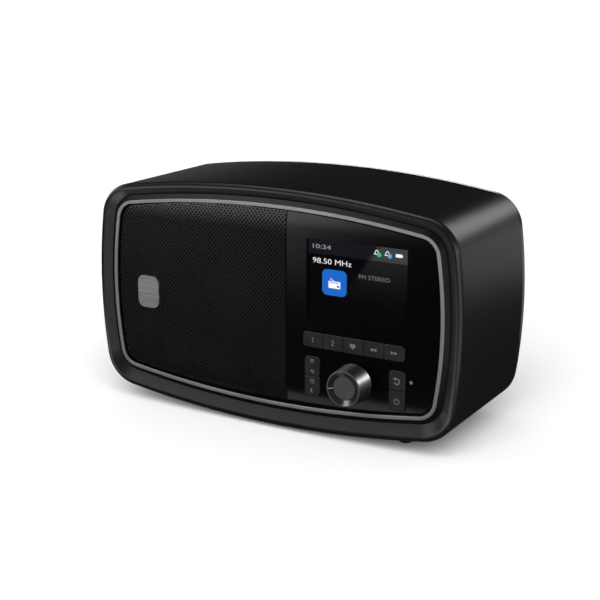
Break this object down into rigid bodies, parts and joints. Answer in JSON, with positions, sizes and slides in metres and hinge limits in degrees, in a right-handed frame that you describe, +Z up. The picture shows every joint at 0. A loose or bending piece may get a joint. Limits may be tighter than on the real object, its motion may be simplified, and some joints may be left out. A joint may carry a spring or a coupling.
{
  "type": "tabletop radio",
  "caption": "Tabletop radio with a bowed black cabinet, perforated loudspeaker grille, gloss control panel with display, keys and push knob, and a folding aerial behind.",
  "frame": {"origin": "centre of the overall box in plan, at table height under the feet", "axes": "+X to the right seen from the front, +Y from the front to the back, +Z up"},
  "size_m": [0.226, 0.1098, 0.134],
  "materials": {
    "cabinet": "satin moulded black",
    "baffle": "satin black",
    "trim": "satin silver",
    "grille": "satin black, perforated",
    "badge": "satin silver, blank",
    "panel": "gloss black",
    "lens": "clear",
    "screen": "lit display",
    "keys": "satin dark grey",
    "lamp": "frosted",
    "knob": "dark spun satin",
    "knob_cap": "satin grey",
    "pointer": "light grey line",
    "rubber": "matt black",
    "board": "green laminate",
    "inner_plastic": "plain black",
    "inner_steel": "plated",
    "screws": "black zinc",
    "basket": "black",
    "magnet": "ferrite",
    "cone": "black pulp",
    "coil": "copper wire",
    "battery": "shrink sleeve",
    "wire": "grey",
    "aerial": "polished"
  },
  "bodies": {
    "radio": {"cabinet_shell": "cabinet", "rear_cover": "cabinet", "front_baffle": "baffle", "trim_ring": "trim", "speaker_grille": "grille", "badge_plate": "badge", "control_panel": "panel", "display_lens": "lens", "display_screen": "screen", "status_light": "lamp", "foot_front_left": "rubber", "foot_front_right": "rubber", "foot_rear_left": "rubber", "foot_rear_right": "rubber", "speaker_surround": "rubber", "front_board": "board", "main_board": "board", "display_carrier": "inner_plastic", "tact_switches": "inner_plastic", "headphone_socket": "inner_plastic", "encoder_case": "inner_steel", "speaker_yoke": "inner_steel", "charging_socket": "inner_steel", "battery_bracket": "inner_steel", "speaker_screws": "screws", "front_board_screws": "screws", "main_board_screws": "screws", "bracket_screws": "screws", "case_screws": "screws", "speaker_basket": "basket", "speaker_magnet": "magnet", "battery_pack": "battery", "flat_cable": "wire", "speaker_lead": "wire"},
    "preset_one": {"key_preset_one": "keys"},
    "preset_two": {"key_preset_two": "keys"},
    "favourite": {"key_favourite": "keys"},
    "previous": {"key_previous": "keys"},
    "next": {"key_next": "keys"},
    "source": {"key_source": "keys"},
    "power": {"key_power": "keys"},
    "menu_rocker": {"rocker_menu": "keys"},
    "alarm_rocker": {"rocker_alarm": "keys"},
    "rotor": {"encoder_rotor": "inner_plastic"},
    "knob": {"knob_body": "knob", "knob_cap": "knob_cap", "knob_pointer": "pointer", "encoder_shaft": "inner_steel"},
    "cone": {"speaker_cone": "cone", "speaker_coil": "coil", "speaker_dust_cap": "cone"},
    "aerial_base": {"aerial_hub": "aerial", "aerial_hinge_pin": "aerial"},
    "aerial_outer": {"aerial_knuckle": "aerial", "aerial_section_1": "aerial"},
    "aerial_second": {"aerial_section_2": "aerial"},
    "aerial_third": {"aerial_section_3": "aerial"},
    "aerial_end": {"aerial_section_4": "aerial"}
  },
  "joints": [
    {"name": "preset_one_press", "type": "slide", "parent": "radio", "child": "preset_one", "axis": [0, 1, 0], "range_m": [0, 0.0006], "stiffness_N_per_m": 800},
    {"name": "preset_two_press", "type": "slide", "parent": "radio", "child": "preset_two", "axis": [0, 1, 0], "range_m": [0, 0.0006], "stiffness_N_per_m": 800},
    {"name": "favourite_press", "type": "slide", "parent": "radio", "child": "favourite", "axis": [0, 1, 0], "range_m": [0, 0.0006], "stiffness_N_per_m": 800},
    {"name": "previous_press", "type": "slide", "parent": "radio", "child": "previous", "axis": [0, 1, 0], "range_m": [0, 0.0006], "stiffness_N_per_m": 800},
    {"name": "next_press", "type": "slide", "parent": "radio", "child": "next", "axis": [0, 1, 0], "range_m": [0, 0.0006], "stiffness_N_per_m": 800},
    {"name": "source_press", "type": "slide", "parent": "radio", "child": "source", "axis": [0, 1, 0], "range_m": [0, 0.0006], "stiffness_N_per_m": 800},
    {"name": "power_press", "type": "slide", "parent": "radio", "child": "power", "axis": [0, 1, 0], "range_m": [0, 0.0006], "stiffness_N_per_m": 800},
    {"name": "menu_rocker_tilt", "type": "hinge", "parent": "radio", "child": "menu_rocker", "pos_m": [0.0272, -0.0403, 0.03974], "axis": [1, 0, 0], "range_deg": [-3, 3], "stiffness_Nm_per_rad": 0.4},
    {"name": "alarm_rocker_tilt", "type": "hinge", "parent": "radio", "child": "alarm_rocker", "pos_m": [0.0272, -0.0403, 0.02866], "axis": [1, 0, 0], "range_deg": [-3, 3], "stiffness_Nm_per_rad": 0.4},
    {"name": "knob_turn", "type": "hinge", "parent": "radio", "child": "rotor", "pos_m": [0.0522, -0.0364, 0.0345], "axis": [0, 1, 0], "continuous": true},
    {"name": "knob_push", "type": "slide", "parent": "rotor", "child": "knob", "axis": [0, 1, 0], "range_m": [0, 0.0005], "stiffness_N_per_m": 1500},
    {"name": "cone_travel", "type": "slide", "parent": "radio", "child": "cone", "axis": [0, 1, 0], "range_m": [-0.0015, 0.0015], "stiffness_N_per_m": 900, "deforming": ["speaker_surround"]},
    {"name": "aerial_swivel", "type": "hinge", "parent": "radio", "child": "aerial_base", "pos_m": [0.078, 0.0446, 0.11], "axis": [0, 1, 0], "range_deg": [0, 180]},
    {"name": "aerial_tilt", "type": "hinge", "parent": "aerial_base", "child": "aerial_outer", "pos_m": [0.078, 0.0515, 0.11], "axis": [0, 0, -1], "range_deg": [0, 90]},
    {"name": "aerial_second_slide", "type": "slide", "parent": "aerial_outer", "child": "aerial_second", "axis": [-1, 0, 0], "range_m": [0, 0.112]},
    {"name": "aerial_third_slide", "type": "slide", "parent": "aerial_second", "child": "aerial_third", "axis": [-1, 0, 0], "range_m": [0, 0.112]},
    {"name": "aerial_end_slide", "type": "slide", "parent": "aerial_third", "child": "aerial_end", "axis": [-1, 0, 0], "range_m": [0, 0.112]}
  ]
}
